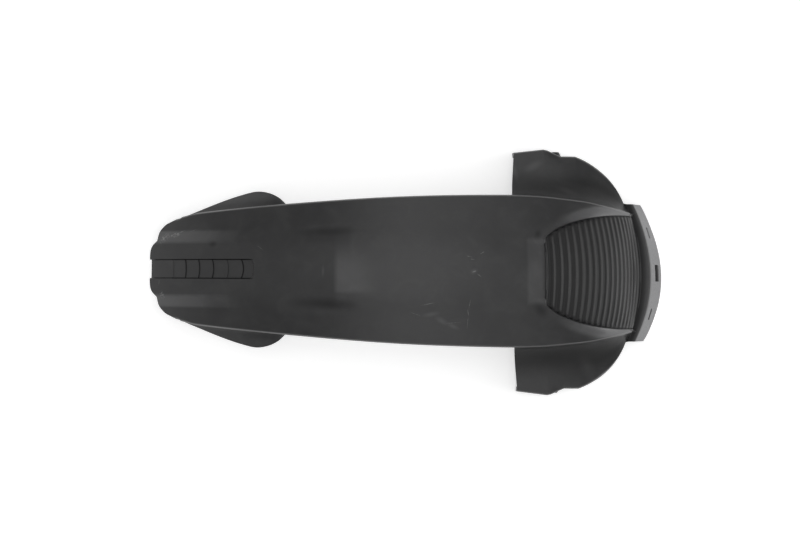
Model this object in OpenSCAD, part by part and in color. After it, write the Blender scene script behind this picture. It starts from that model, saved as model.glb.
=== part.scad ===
// Rear mudguard of a small electric scooter, with its foot-brake tread and the
// steel brake shoe under the crown. X points forward, Y to the left and Z up.
// The origin is on the floor, in the middle of the part's length and width.

/* [Side profile] */
// Height of the crown above the floor
crest_z = 72; // [68:0.5:76]
// Place of the highest point along the length
crest_x = -4.6; // [-8:0.1:0]
// Radius of the back, from the highest point to the tail
back_r = 240; // [232:1:260]
// Radius of the crown, from the highest point to the tread
crown_r = 550; // [500:5:600]
// Radius of the nose under the tread
nose_r = 81; // [80:0.5:86]
// Place of the tail end
tail_x = -160.7; // [-162:0.1:-159]
// Place where the tread begins
pad_x = 81.6; // [80.5:0.1:82.5]
// Place of the front edge of the nose
nose_x = 144; // [143:0.1:145]
// Width of the smooth rim in front of the ribs
rim_w = 3.4; // [3:0.1:4]
// Fall of the rim over its width
rim_fall = 3.1; // [2.6:0.1:3.4]

/* [Widths] */
// Half width of the body between the lips at its widest
body_w = 45.6; // [44.6:0.1:46.4]
// Half width of the tread at the nose
tread_w = 35; // [34.2:0.1:35.2]
// Half width of the tail lobes
lobe_w = 47.9; // [47:0.1:48.8]
// Half width of the wings at their feet
wing_w = 77.6; // [77:0.1:79]
// How far the front turns towards one side, as a share of the width
front_turn = 0.022; // [0:0.002:0.03]
// Further turn of the flange towards the same side
flange_turn = 0.028; // [0:0.002:0.034]

/* [Wall and lip] */
// Thickness of the moulded wall
wall = 2.8; // [2.4:0.1:3]
// Radius of the crown across the width
cross_r = 88; // [84:1:96]
// Depth of the side skirt below the lip
skirt_drop = 12; // [10:0.5:13]
// Roundness of the lip
lip_r = 1.6; // [1.2:0.1:2]
// Height of the outer side of the lip
lip_side = 3.2; // [2:0.1:3.6]
// Depth of the lower edge of the lip below the top
lip_below = 4.8; // [4.2:0.1:5]

/* [Tail] */
// Half width of the raised flat middle of the tail
ridge_w = 16.1; // [15.6:0.1:16.6]
// Width of the sloping band beside the raised middle
ridge_slope_w = 6.6; // [6:0.1:7]
// Height of the raised middle above the flanks
ridge_h = 3.2; // [2:0.1:3.6]
// Half width of the channel
channel_w = 5.5; // [5:0.1:6]
// Depth of the channel at its front end
channel_depth = 1.7; // [1.2:0.1:1.8]
// Depth of the channel at the tail end
channel_shallow = 1; // [0.7:0.1:1.2]
// Height of each step in the channel floor
step_h = 0.45; // [0.2:0.05:0.6]
// Number of steps in the channel floor
step_count = 6; // [4:1:6]
// Spacing of the steps along the back
step_pitch = 10.35; // [10:0.01:10.5]
// Distance from the front end of the channel to the first step
step_first = 7.9; // [7:0.1:9]
// Place of the front end of the channel
channel_x = -91.8; // [-92.5:0.1:-91]
// Depth of the notch where the channel meets the tail end
tail_notch = 1.1; // [0:0.1:1.4]

/* [Tread] */
// Number of ribs
rib_count = 15; // [13:1:15]
// Spacing of the ribs along the nose
rib_pitch = 4.81; // [4.6:0.01:4.85]
// Distance from the start of the tread to the first rib
rib_start = 4.54; // [4.4:0.02:4.7]
// Height of the ribs
rib_h = 0.8; // [0.4:0.1:1]
// Depth of the tread floor below the crown
pad_depth = 1.4; // [1:0.1:1.6]
// Fall of the flat band behind the tread
band_fall = 0.8; // [0:0.1:1]
// Length of the flat band
band_l = 11.6; // [10:0.2:14]
// Half width of the flat band
band_w = 17; // [15:0.5:18]

/* [Front flange] */
// Height of the ledge in front of the nose
ledge_z = 16.5; // [15.5:0.5:17]
// Distance from the nose to the inner edge of the ledge
ledge_gap = 1.3; // [1:0.1:1.8]
// Width of the ledge
ledge_l = 5.5; // [5:0.1:6.5]
// Distance from the ledge out to the foot of the flange
flange_l = 9.9; // [9:0.1:11]
// Radius of the inner edge of the ledge in plan
ledge_in_r = 111.5; // [105:0.5:120]
// Radius of the outer edge of the ledge in plan
ledge_out_r = 93; // [88:1:98]
// Radius of the foot of the flange in plan
flange_r = 76; // [72:1:82]
// Height of the ends of the flange above the floor
flange_rise = 7; // [5:0.5:8]
// Half width of the ledge
ledge_w = 42.8; // [42:0.1:43.4]
// Width of the middle slot
slot_w = 10.5; // [9:0.1:11.5]
// Height of the middle slot
slot_h = 5.2; // [4.4:0.1:5.6]
// Length of the two thin slots
side_slot_w = 7.4; // [6:0.1:8]
// Height of the two thin slots
side_slot_h = 2.2; // [1.2:0.1:2.4]
// Distance of the thin slots from the middle
side_slot_y = 25.5; // [24:0.1:27]

/* [Wings] */
// Place of the rear edge of the wings at the lip
wing_x = 63.4; // [62:0.1:65]
// Height of the edge along the wings
wing_edge_z = 14; // [12:0.5:15]
// Radius of the rounded front of the wings
wing_r = 52.8; // [52:0.1:53.6]
// How far the wall of a wing leans out at its rounded front
wing_lean = 2; // [1:0.1:2.6]

/* [Pivot eyes] */
// Place of the pivot axis along the length
eye_x = 92; // [91:0.1:93]
// Height of the pivot axis
eye_z = 8; // [7:0.1:9]
// Diameter of the eyes
eye_d = 8.4; // [8:0.1:9]
// Diameter of the hole through the eyes
eye_bore = 4.3; // [4:0.1:5]
// How far the outer end of an eye lies inside the half width of the wings
eye_inset = 2.2; // [1.6:0.1:2.6]
// Length of an eye
eye_l = 15.4; // [12:0.1:17]

/* [Brake shoe] */
// Radius of the shoe face, a little over the tyre
shoe_r = 104; // [100:1:110]
// Thickness of the shoe plate
shoe_t = 2; // [1.5:0.1:2.5]
// Length of the shoe along the length of the part
shoe_l = 78; // [70:1:84]
// Width of the shoe
shoe_w = 34; // [30:1:38]
// Height of the lowest point of the wall above the shoe plate
shoe_gap = 9; // [8:0.5:10]
// Spacing of the screws along the length
screw_dx = 44; // [40:1:48]
// Spacing of the screws across the width
screw_dy = 20; // [18:1:22]
// Diameter of the screw thread
screw_d = 4; // [3.5:0.1:4.5]
// Length of the screw below its head
screw_l = 10; // [8:0.5:11]
// Outer diameter of the screw bosses
boss_d = 9; // [8:0.1:10]
// Clearance around the screws in the shoe
screw_clear = 0.5; // [0.3:0.1:0.8]

/* [Hidden] */

function clamp01(v) = min(max(v, 0), 1);
function ease(v) = let (t = clamp01(v)) t * t * (3 - 2 * t);
function mix(a, b, t) = a + (b - a) * t;
function unit(v) = v / norm(v);

// A smooth curve through a few points, read at x
function span(p, x, k = 0) = (k >= len(p) - 2 || x < p[k + 1][0]) ? k : span(p, x, k + 1);
function rise(p, k) = let (a = max(k - 1, 0), b = min(k + 1, len(p) - 1))
    (p[b][1] - p[a][1]) / (p[b][0] - p[a][0]);
function curve(p, x) =
    let (k = span(p, x), h = p[k + 1][0] - p[k][0], t = clamp01((x - p[k][0]) / h))
    let (s = t * t * (3 - 2 * t))
    mix(p[k][1], p[k + 1][1], s)
    + h * (t * (1 - t) * (1 - t) * rise(p, k) - t * t * (1 - t) * rise(p, k + 1));

// Half width along the length, as a share of body_w for the lip, of tread_w and of lobe_w
LIP = [[tail_x, 0.561], [-156, 0.627], [-150, 0.669], [-140, 0.717], [-130, 0.757], [-66.6, 0.873],
    [-4.6, 0.963], [50, 1], [82, 0.996], [100, 0.966], [115.5, 0.927], [123, 0.895], [nose_x, 0.807]];
PAD = [[pad_x, 0.529], [84.5, 0.623], [91, 0.74], [104, 0.871], [118, 0.951], [132, 0.992], [nose_x, 1]];
LOBE = [[tail_x, 0.522], [-149.4, 0.622], [-135.7, 0.72], [-112.3, 0.902], [-96.5, 0.992], [-90.4, 1],
    [-83.3, 0.965], [-77.3, 0.894], [-74, 0.823], [-71, 0.8], [-62, 0.806]];
// Height of the lower edge of the lobes
LOBE_FOOT = [[tail_x, 0], [-149.4, 4], [-135.7, 9.5], [-112.3, 19], [-96.5, 26], [-90.4, 29], [-83.3, 33],
    [-77.3, 37], [-71, 42], [-62, 46]];
lobe_end_x = -62;
blend_x = -118;
blend_l = 34;
nose_flat_x = 84;
nose_flat_l = 56;
tail_round_x = -140;

// Outer foot of a wing in plan: side, notch beside the pivot eye, rounded front
wing_mid = [91.5, wing_w - 55.3];
ROUND = [for (a = [74:-3.8:23]) wing_mid + wing_r * [cos(a), sin(a)]];
WING = concat([[68.2, wing_w - 2.2], [86.3, wing_w], [89, wing_w - 0.5], [93.4, wing_w - 2.4], [97, wing_w - 4.2]],
    ROUND);
// The same without the notch, for the surface of the wing
WING_TOP = concat([[68.2, wing_w - 2.2], [86.3, wing_w], [89, wing_w - 0.2], [93.4, wing_w - 0.9], [97, wing_w - 1.7]],
    ROUND);
function reach(k) = k == 0 ? 0 : reach(k - 1) + norm(WING[k] - WING[k - 1]);
WING_S = [for (k = [0:len(WING) - 1]) reach(k)];
function wing_at(p, s, k = 0) = (k >= len(WING) - 2 || s < WING_S[k + 1])
    ? mix(p[k], p[k + 1], (s - WING_S[k]) / (WING_S[k + 1] - WING_S[k])) : wing_at(p, s, k + 1);

// Height of the middle of the crown along the length
pad_a = asin((pad_x - crest_x) / crown_r);
pad_z = crest_z - crown_r * (1 - cos(pad_a));
nose_mid = [pad_x - nose_r * sin(pad_a), pad_z - nose_r * cos(pad_a)];
rim_x = nose_x - rim_w;
function nose_z(x) = nose_mid[1] + sqrt(nose_r * nose_r - (x - nose_mid[0]) * (x - nose_mid[0]));
function top_z(x) =
    x < crest_x ? crest_z - back_r + sqrt(back_r * back_r - (x - crest_x) * (x - crest_x))
    : x < pad_x ? crest_z - crown_r + sqrt(crown_r * crown_r - (x - crest_x) * (x - crest_x))
    : x < rim_x ? nose_z(x)
    : nose_z(rim_x) - (x - rim_x) * rim_fall / rim_w;

// Fall of the surface from the middle to the side
function tail_fall(y) = ridge_h * ease((y - ridge_w) / ridge_slope_w) + 0.4 * max(y - ridge_w - ridge_slope_w, 0);
function crown_fall(y) = y * y / (2 * cross_r);
function fall(x, y) = mix(tail_fall(y), crown_fall(y), ease((x - blend_x) / blend_l))
    * mix(1, 0.28, ease((x - nose_flat_x) / nose_flat_l))
    + 0.7 * ease(1 - abs(y - 22) / 6) * ease(1 - abs(x + 48) / 22)
    + (x > pad_x ? 0 : band_fall * ease(1 - (pad_x - x) / band_l) * ease((band_w + 2 - y) / 3));

// Stations along the length: [place, rib height, kind], kind 1 in the tread, 2 on the front flange
function back_x(s) = crest_x - back_r * sin(asin((crest_x - channel_x) / back_r) + s / back_r * 180 / PI);
function pad_s(s) = nose_mid[0] + nose_r * sin(pad_a + s / nose_r * 180 / PI);
step_x = [for (k = [step_count:-1:0]) back_x(k == 0 ? 0 : step_first + (k - 1) * step_pitch)];
tail_cols = [tail_x, tail_x + 3.4, tail_x + 8, tail_x + 12.4];
step_cols = [for (k = [0:step_count]) each concat([step_x[k] - 0.35, step_x[k] + 0.35],
    k < step_count ? [mix(step_x[k], step_x[k + 1], 0.5)] : [])];
lobe_cols = [for (x = [-87:3.5:-65]) x];
mid_cols = concat([lobe_end_x], [for (x = [-50:12.4:50]) x]);
wing_cols = [wing_x, wing_x + 4, wing_x + 9, wing_x + 14];
ledge_in_x = nose_x + ledge_gap;
ledge_out_x = ledge_in_x + ledge_l;
flange_x = ledge_out_x + flange_l;
rib_cols = [for (k = [0:2 * rib_count]) [pad_s(rib_start + (k - 1) * rib_pitch / 2), (k % 2) * rib_h, 1]];
COLS = concat([for (x = concat(tail_cols, step_cols, lobe_cols, mid_cols, wing_cols)) [x, 0, 0]],
    [[pad_x, 0, 0]], rib_cols, [[rim_x + 0.8, rib_h, 1], [nose_x, rib_h, 1]],
    [[ledge_in_x, 0, 2], [ledge_out_x, 0, 2], [flange_x, 0, 2]]);
n_front = len(COLS) - 1;
n_nose = n_front - 3;
n_wing = len(tail_cols) + len(step_cols) + len(lobe_cols) + len(mid_cols);
n_lobe = len(tail_cols) + len(step_cols) + len(lobe_cols);
wing_s = WING_S[len(WING) - 1];

// Rows across half the width, from the middle to the foot of the skirt
EDGE = 5;
LIP_TOP = 7;
LIP_OUT = 8;
LIP_UNDER = 9;
SKIRT = 10;
WING_EDGE = 14;
FOOT = 15;
ROWS = 2 * FOOT;

// Depth of the channel floor, with its row of steps
function channel(x) = (x < channel_x - 0.1)
    ? mix(channel_shallow, channel_depth, (x - tail_x) / (channel_x - tail_x))
      - step_h * (0.5 - len([for (s = step_x) if (s < x) 1]) + (x - tail_x) / (channel_x - tail_x) * step_count)
    : 0;

// How far the stations bend back towards the sides
function bend(x) = mix(0.0022, 0.0045, (x - pad_x) / (nose_x - pad_x)) * ease((x - pad_x + 16) / 16);
function tail_shift(x, y) = clamp01((tail_round_x - x) / (tail_round_x - tail_x))
    * (4.4 * pow(min(y, 17) / 17, 6) + 0.12 * max(y - 17, 0) + 0.09 * pow(max(y - 20.5, 0), 2));
function arc_sag(r, y) = r - sqrt(r * r - y * y);

// Half width of a row on the top of the shell
function row_y(r, x) =
    let (w = body_w * curve(LIP, x), b = ease((x + 88) / 60), p = tread_w * curve(PAD, x), f = min(1, (w - 2.2) / 26),
        tail = [0, channel_w, channel_w + 0.4, 11, ridge_w * f, (ridge_w + ridge_slope_w) * f],
        pad = [0, p * 0.26, p * 0.52, p * 0.78, p - 0.9, p])
    r <= EDGE ? mix(tail[r], pad[r], b)
    : r == EDGE + 1 ? (row_y(EDGE, x) + row_y(LIP_TOP, x)) / 2
    : r == LIP_TOP ? w - lip_r * mix(1, 0.7, ease((x - 100) / 40))
    : r == LIP_OUT ? w
    : r == LIP_UNDER ? w - 0.8 * mix(1, 0.3, ease((x - 100) / 40))
    : w - 1.4 * mix(1, 0.3, ease((x - 100) / 40));

// Detail on the top of the shell: the channel, the tread floor and its ribs
function relief(c, r) = c[2] == 1 ? (r < EDGE ? c[1] - pad_depth : 0)
    : r < 2 ? -channel(c[0]) : 0;
function soft_relief(c, r) = (c[2] == 1 && r < EDGE) ? -pad_depth * (1 - floor(c[1] / pad_depth)) : 0;

// A point of the shell above and along the lip
function top_point(c, r, detail) =
    let (y = row_y(r, c[0]), x = c[0] - bend(c[0]) * y * y + tail_shift(c[0], y)
        + (detail && r == 0 && c[0] < channel_x ? 0.9 : 0) + (detail && r < 2 && c[0] == tail_x ? tail_notch : 0),
        z = top_z(x) - fall(x, min(y, row_y(LIP_TOP, c[0]))), e = mix(1, 0.35, ease((c[0] - 100) / 40)),
        under = [0, lip_side, lip_below][max(r - LIP_TOP, 0)] * e * min(1, z / 16))
    [x, y, z - under + (detail ? relief(c, r) : soft_relief(c, r))];

function skirt_depth(x, z) = min(skirt_drop, z * 0.6) * mix(1, 0.15, ease((x - 85) / 55));
function skirt_point(c) =
    let (p = top_point(c, LIP_TOP, false))
    [p[0], row_y(SKIRT, c[0]), p[2] - skirt_depth(c[0], p[2])];

// A point of a tail lobe and of a wing, t runs from the skirt outwards
function lobe_point(c, r) =
    let (a = skirt_point(c), t = (r - SKIRT) / (FOOT - SKIRT), foot = curve(LOBE_FOOT, c[0]))
    [a[0], mix(a[1], lobe_w * curve(LOBE, c[0]), t * t), mix(a[2], foot, t)];
WING_T = [0, 0.12, 0.4, 0.75, 1];
WING_FALL = [0, 0.34, 0.66, 0.88, 1];
function wing_point(c, r, i) =
    let (a = skirt_point(c), s = wing_s * (i - n_wing) / (n_nose - n_wing), foot = wing_at(WING, s),
        d = unit(wing_at(WING, min(s + 1, wing_s)) - wing_at(WING, max(s - 1, 0))),
        lean = mix(0.4, wing_lean, ease((s - 30) / 30)) * [d[1], -d[0]],
        edge = mix(wing_edge_z, ledge_z - 0.5, ease((s - 60) / 40)), k = r - SKIRT,
        b = (r < WING_EDGE ? wing_at(WING_TOP, s) : foot) + lean)
    r == FOOT ? concat(foot, [0])
    : concat(mix([a[0], a[1]], b, WING_T[k]), [mix(a[2], edge, WING_FALL[k])]);

// A point of the ledge and the flange in front of the nose
function flange_point(i, r) =
    let (w = row_y(LIP_OUT, nose_x), t = (r - LIP_OUT) / (WING_EDGE - LIP_OUT),
        y = r <= LIP_OUT ? row_y(r, nose_x) : mix(w, ledge_w, t))
    i == n_nose + 1 ? [ledge_in_x - arc_sag(ledge_in_r, y), y, ledge_z]
    : i == n_nose + 2 ? [ledge_out_x - arc_sag(ledge_out_r, y), y, ledge_z - 0.2]
    : [flange_x - arc_sag(flange_r, y), y, flange_rise * ease((y - 26) / 22)];

// One point of the outer face, j runs from the right foot to the left foot
function side_point(i, r, detail) =
    i > n_nose ? flange_point(i, r)
    : r < SKIRT ? top_point(COLS[i], r, detail)
    : i >= n_wing ? wing_point(COLS[i], r, i)
    : i <= n_lobe ? lobe_point(COLS[i], r)
    : skirt_point(COLS[i]);
function turn(x) = front_turn * ease((x - 45) / 20) + flange_turn * clamp01((x - nose_x) / (flange_x - nose_x));
function shell_point(i, j, detail) =
    let (p = side_point(i, abs(j - FOOT), detail), y = j < FOOT ? -p[1] : p[1]) [p[0] - turn(p[0]) * y, y, p[2]];

// Which cells of the grid hold material
function filled(i, j) =
    let (r = j >= FOOT ? j - FOOT : FOOT - 1 - j)
    i >= 0 && i < n_front && j >= 0 && j < ROWS
    && (r < SKIRT || (i < n_lobe) || (i >= n_wing && i < n_nose) || (i >= n_nose && r < WING_EDGE));
function used(i, j) = filled(i, j) || filled(i - 1, j) || filled(i, j - 1) || filled(i - 1, j - 1);

OUTER = [for (i = [0:n_front]) [for (j = [0:ROWS]) shell_point(i, j, true)]];
BASE = [for (i = [0:n_front]) [for (j = [0:ROWS]) shell_point(i, j, false)]];
function near(i, j, di, dj) =
    let (a = (di == 0 ? filled(i, dj > 0 ? j : j - 1) || filled(i - 1, dj > 0 ? j : j - 1)
        : filled(di > 0 ? i : i - 1, j) || filled(di > 0 ? i : i - 1, j - 1)))
    a ? BASE[i + di][j + dj] : BASE[i][j];
// The lower edges are cut level where they stand on the floor and square to the wall above it
function level(i, j) = (j > 0 && j < ROWS && i < n_front) ? 1 : (i <= n_lobe ? clamp01(BASE[i][j][2] / 6) : 0);
function inner_point(i, j) =
    let (n = cross(near(i, j, 1, 0) - near(i, j, -1, 0), near(i, j, 0, 1) - near(i, j, 0, -1)),
        m = unit(n))
    BASE[i][j] - wall * unit([m[0], m[1], m[2] * level(i, j)]);
INNER = [for (i = [0:n_front]) [for (j = [0:ROWS]) used(i, j) ? inner_point(i, j) : BASE[i][j]]];

function vertex(i, j) = i * (ROWS + 1) + j;
n_vertex = (n_front + 1) * (ROWS + 1);
function quad(a, b, c, d) = [[a, b, c], [a, c, d]];
CELLS = [for (i = [0:n_front - 1]) for (j = [0:ROWS - 1]) if (filled(i, j)) [i, j]];
FACES = [for (c = CELLS) let (i = c[0], j = c[1], a = vertex(i, j), b = vertex(i + 1, j),
        d = vertex(i, j + 1), e = vertex(i + 1, j + 1), n = n_vertex)
    each concat(quad(a, d, e, b), quad(a + n, b + n, e + n, d + n),
        filled(i, j - 1) ? [] : quad(a, b, b + n, a + n),
        filled(i, j + 1) ? [] : quad(e, d, d + n, e + n),
        filled(i - 1, j) ? [] : quad(d, a, a + n, d + n),
        filled(i + 1, j) ? [] : quad(b, e, e + n, b + n))];

module shell() {
    polyhedron(points = concat([for (c = OUTER) each c], [for (c = INNER) each c]), faces = FACES, convexity = 10);
}

// Everything under the crown is set out on rays from the middle of the shoe's curve
shoe_top_z = crest_z - wall - shoe_gap;
shoe_out_r = shoe_r + shoe_t;
screw_tilt = asin(screw_dx / 2 / shoe_out_r);
head_h = 1.9;
head_d = 7.4;
boss_l = shoe_gap + 2.3;
module at_screw(k) {
    side = k % 2 == 0 ? 1 : -1;
    end = k < 2 ? 1 : -1;
    translate([crest_x, side * screw_dy / 2, shoe_top_z - shoe_out_r])
        rotate([0, end * screw_tilt, 0]) translate([0, 0, shoe_out_r]) children();
}

eye_out_y = wing_w - eye_inset;
eye_in_y = eye_out_y - eye_l;
bore_past = 4;
module pivot_eye(side) {
    translate([eye_x, side * eye_in_y, eye_z]) rotate([-side * 90, 0, 0])
        cylinder(d = eye_d, h = eye_l, $fn = 48);
}

slot_cut_l = 24;
side_slot_cut_l = 16;
side_slot_back = 4;
module flange_slots() {
    slot_x = (ledge_out_x + flange_x) / 2;
    translate([slot_x, 0, ledge_z * 0.35]) cube([slot_cut_l, slot_w, slot_h], center = true);
    for (side = [-1, 1])
        translate([slot_x - side_slot_back, side * side_slot_y, ledge_z * 0.48]) rotate([0, 0, side * 17])
            cube([side_slot_cut_l, side_slot_w, side_slot_h], center = true);
}

module mudguard() {
    color("#2b2b2c") difference() {
        union() {
            shell();
            for (side = [-1, 1]) pivot_eye(side);
            for (k = [0:3]) at_screw(k) cylinder(d = boss_d, h = boss_l, $fn = 48);
        }
        for (side = [-1, 1]) translate([eye_x, side * (eye_in_y - 1), eye_z])
            rotate([-side * 90, 0, 0]) cylinder(d = eye_bore, h = eye_l + bore_past, $fn = 48);
        for (k = [0:3]) at_screw(k) translate([0, 0, -0.1])
            cylinder(d = screw_d + 0.1, h = screw_l - shoe_t + 0.9, $fn = 48);
        flange_slots();
    }
}

module brake_shoe() {
    sweep = shoe_l / shoe_out_r * 180 / PI;
    color("#8d8f92") difference() {
        translate([crest_x, shoe_w / 2, shoe_top_z - shoe_out_r]) rotate([90, 0, 0])
            rotate([0, 0, 90 - sweep / 2]) rotate_extrude(angle = sweep, $fn = 180)
                translate([shoe_r, 0]) square([shoe_t, shoe_w]);
        for (k = [0:3]) at_screw(k) {
            translate([0, 0, -shoe_t - 1]) cylinder(d = screw_d + screw_clear, h = shoe_t + 2, $fn = 48);
            translate([0, 0, -shoe_t - 0.01]) cylinder(d1 = head_d + 0.12, d2 = screw_d + 0.12, h = head_h, $fn = 48);
        }
    }
}

module shoe_screw(k) {
    color("#b4b6b8") at_screw(k - 1) difference() {
        union() {
            translate([0, 0, -shoe_t]) cylinder(d1 = head_d, d2 = screw_d, h = head_h, $fn = 48);
            translate([0, 0, -shoe_t + head_h - 0.1]) cylinder(d = screw_d, h = screw_l - head_h, $fn = 48);
        }
        translate([0, 0, -shoe_t - 1]) cylinder(d = 2.9, h = 2.2, $fn = 6);
    }
}

mudguard();
brake_shoe();
for (k = [1:4]) shoe_screw(k);
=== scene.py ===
import math

import bpy
import numpy as np
from mathutils import Matrix, Vector


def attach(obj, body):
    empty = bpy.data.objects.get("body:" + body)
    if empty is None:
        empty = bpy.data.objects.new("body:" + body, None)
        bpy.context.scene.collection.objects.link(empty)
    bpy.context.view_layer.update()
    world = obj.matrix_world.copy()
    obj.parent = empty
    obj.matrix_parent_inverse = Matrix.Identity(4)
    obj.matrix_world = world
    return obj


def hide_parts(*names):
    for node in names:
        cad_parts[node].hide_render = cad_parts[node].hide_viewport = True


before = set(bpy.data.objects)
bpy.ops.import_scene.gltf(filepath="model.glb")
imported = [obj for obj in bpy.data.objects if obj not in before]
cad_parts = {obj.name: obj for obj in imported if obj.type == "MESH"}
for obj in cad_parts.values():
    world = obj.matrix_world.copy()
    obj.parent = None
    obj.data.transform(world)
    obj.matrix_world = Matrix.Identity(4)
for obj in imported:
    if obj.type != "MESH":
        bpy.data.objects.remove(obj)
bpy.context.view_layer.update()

MM = 0.001

# Sizes of the moulding in millimetres, as in the CAD source but for small changes of the outline
CREST_Z, CREST_X = 72.0, -4.6
BACK_R, CROWN_R, NOSE_R = 240.0, 550.0, 81.0
TAIL_X, PAD_X, NOSE_X = -160.7, 81.6, 144.0
RIM_W, RIM_FALL = 3.4, 3.1
BODY_W, TREAD_W, LOBE_W, WING_W = 45.6, 35.0, 47.9, 77.3
FRONT_TURN, FLANGE_TURN = 0.022, 0.028
WALL, CROSS_R, SKIRT_DROP, LIP_R = 2.8, 88.0, 12.0, 1.6
LIP_SIDE, LIP_BELOW = 3.2, 4.8
RIDGE_W, RIDGE_SLOPE_W, RIDGE_H = 16.1, 6.6, 3.2
CHANNEL_W, CHANNEL_DEPTH, CHANNEL_SHALLOW, CHANNEL_X, TAIL_NOTCH = 5.5, 1.7, 1.4, -93.4, 1.1
STEP_H, STEP_COUNT, STEP_PITCH, STEP_FIRST = 0.45, 6, 10.3, 6.9
RIB_COUNT, RIB_PITCH, RIB_START, RIB_H, PAD_DEPTH, SHOULDER_H = 15, 4.81, 4.54, 0.8, 1.4, 0.8
BAND_FALL, BAND_L, BAND_W = 0.8, 11.6, 17.0
LEDGE_Z, LEDGE_W, FLANGE_RISE = 16.5, 42.8, 7.0
LEDGE_IN_X = NOSE_X + 1.3
LEDGE_OUT_X = LEDGE_IN_X + 5.5
FLANGE_X = LEDGE_OUT_X + 9.9
LEDGE_IN_R, LEDGE_OUT_R, FLANGE_R = 111.5, 93.0, 76.0
SLOT_W, SLOT_H, SLOT_Z, SLOT_CUT_L = 10.5, 5.2, LEDGE_Z * 0.35, 24.0
SIDE_SLOT_W, SIDE_SLOT_H, SIDE_SLOT_Z, SIDE_SLOT_CUT_L = 7.4, 2.2, LEDGE_Z * 0.48, 16.0
SIDE_SLOT_Y, SIDE_SLOT_BACK, SIDE_SLOT_TURN = 25.5, 4.0, 17.0
WING_X, WING_EDGE_Z, WING_R, WING_LEAN = 64.3, 14.0, 46.5, 2.0
EYE_X, EYE_Z, EYE_D, EYE_BORE, EYE_OUT_Y, EYE_IN_Y = 92.0, 8.0, 8.4, 4.3, 75.4, 60.0
LOBE_END_X = -62.0
DENT_X, DENT_Y, DENT_L, DENT_W, DENT_H = -48.0, 22.0, 22.0, 6.0, 0.7

# Where the cross section blends from the tail's ridge to a round back, and where the nose flattens
BLEND_X, BLEND_L, NOSE_FLAT_X, NOSE_FLAT_L, NOSE_FLAT = -118.0, 34.0, 84.0, 56.0, 0.28
# Where the front starts to turn, and over what length
TURN_X, TURN_L = 45.0, 20.0
# The tail's rounded end: its start, the half widths of its middle and to its corners, its forward shifts
TAIL_ROUND_X, TAIL_MIDDLE_W, TAIL_CORNER_W, TAIL_BOW = -140.0, 17.0, 20.8, 4.9
TAIL_SLANT, TAIL_HOOK, TAIL_LEAN = 0.17, 0.083, 0.4

# Half width along the length, as a share of BODY_W for the lip, of TREAD_W and of LOBE_W
LIP = [(TAIL_X, 0.639), (-156, 0.682), (-150, 0.687), (-140, 0.709), (-130, 0.757), (-66.6, 0.873),
       (-4.6, 0.963), (50, 1), (82, 0.996), (100, 0.966), (115.5, 0.927), (123, 0.895), (NOSE_X, 0.807)]
PAD = [(PAD_X, 0.529), (84.5, 0.623), (91, 0.74), (104, 0.871), (118, 0.951), (132, 0.992), (NOSE_X, 1)]
LOBE = [(TAIL_X, 0.59), (-149.4, 0.617), (-135.7, 0.724), (-112.3, 0.902), (-96.5, 0.992), (-90.4, 1),
        (-83.3, 0.965), (-77.3, 0.894), (-74, 0.823), (-71, 0.8), (-62, 0.806)]
LOBE_FOOT = [(TAIL_X, 0), (-149.4, 4), (-135.7, 9.5), (-112.3, 19), (-96.5, 26), (-90.4, 29), (-83.3, 33),
             (-77.3, 36), (-71, 39), (-62, 42)]
# Outlines of a wing from above, at its foot and at its upper edge: the side, the notch beside the
# pivot eye and the rounded front
WING_SIDE, NOTCH_X = [(67.4, WING_W - 2.2), (86.3, WING_W)], (89, 93.4, 97)
ROUND_X, ROUND_Y = 93.4, WING_W - 48.7
ROUND_ANGLES = np.radians(np.arange(74, 19, -4.2))
ROUND = [(ROUND_X + WING_R * math.cos(a), ROUND_Y + WING_R * math.sin(a)) for a in ROUND_ANGLES]
WING = WING_SIDE + [(x, WING_W - inset) for x, inset in zip(NOTCH_X, (0.6, 2.7, 4.3))] + ROUND
WING_TOP = WING_SIDE + [(x, WING_W - inset) for x, inset in zip(NOTCH_X, (0.2, 0.8, 1.5))] + ROUND

# Key rows across half the width
EDGE, LIP_TOP, LIP_OUT, LIP_UNDER, SKIRT, WING_EDGE, FOOT = 5, 7, 8, 9, 10, 14, 15


# Plain maths
def ease(v):
    t = np.clip(v, 0, 1)
    return t * t * (3 - 2 * t)


def mix(a, b, t):
    return a + (b - a) * t


def ramp(t, soft=0.1):
    """A straight slope from 0 to 1 with softly rounded ends."""
    low, high = np.sqrt(t * t + soft * soft), np.sqrt((t - 1) ** 2 + soft * soft)
    return (low - high + 1) / 2


def unit(v):
    return v / np.maximum(np.linalg.norm(v, axis=-1, keepdims=True), 1e-9)


def curve(points, x):
    """A smooth curve through a few points, read at x."""
    p = np.array(points, float)
    px, py = p[:, 0], p[:, 1]
    slopes = np.empty(len(p))
    slopes[1:-1] = (py[2:] - py[:-2]) / (px[2:] - px[:-2])
    slopes[0] = (py[1] - py[0]) / (px[1] - px[0])
    slopes[-1] = (py[-1] - py[-2]) / (px[-1] - px[-2])
    k = np.clip(np.searchsorted(px, x, side="right") - 1, 0, len(p) - 2)
    h = px[k + 1] - px[k]
    t = np.clip((x - px[k]) / h, 0, 1)
    s = t * t * (3 - 2 * t)
    bend_in = t * (1 - t) ** 2 * slopes[k] - t * t * (1 - t) * slopes[k + 1]
    return py[k] + (py[k + 1] - py[k]) * s + h * bend_in


# Heights of the top
PAD_A = math.asin((PAD_X - CREST_X) / CROWN_R)
PAD_Z = CREST_Z - CROWN_R * (1 - math.cos(PAD_A))
NOSE_MID = (PAD_X - NOSE_R * math.sin(PAD_A), PAD_Z - NOSE_R * math.cos(PAD_A))
RIM_X = NOSE_X - RIM_W


def nose_z(x):
    return NOSE_MID[1] + np.sqrt(np.maximum(NOSE_R**2 - (x - NOSE_MID[0]) ** 2, 0))


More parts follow.
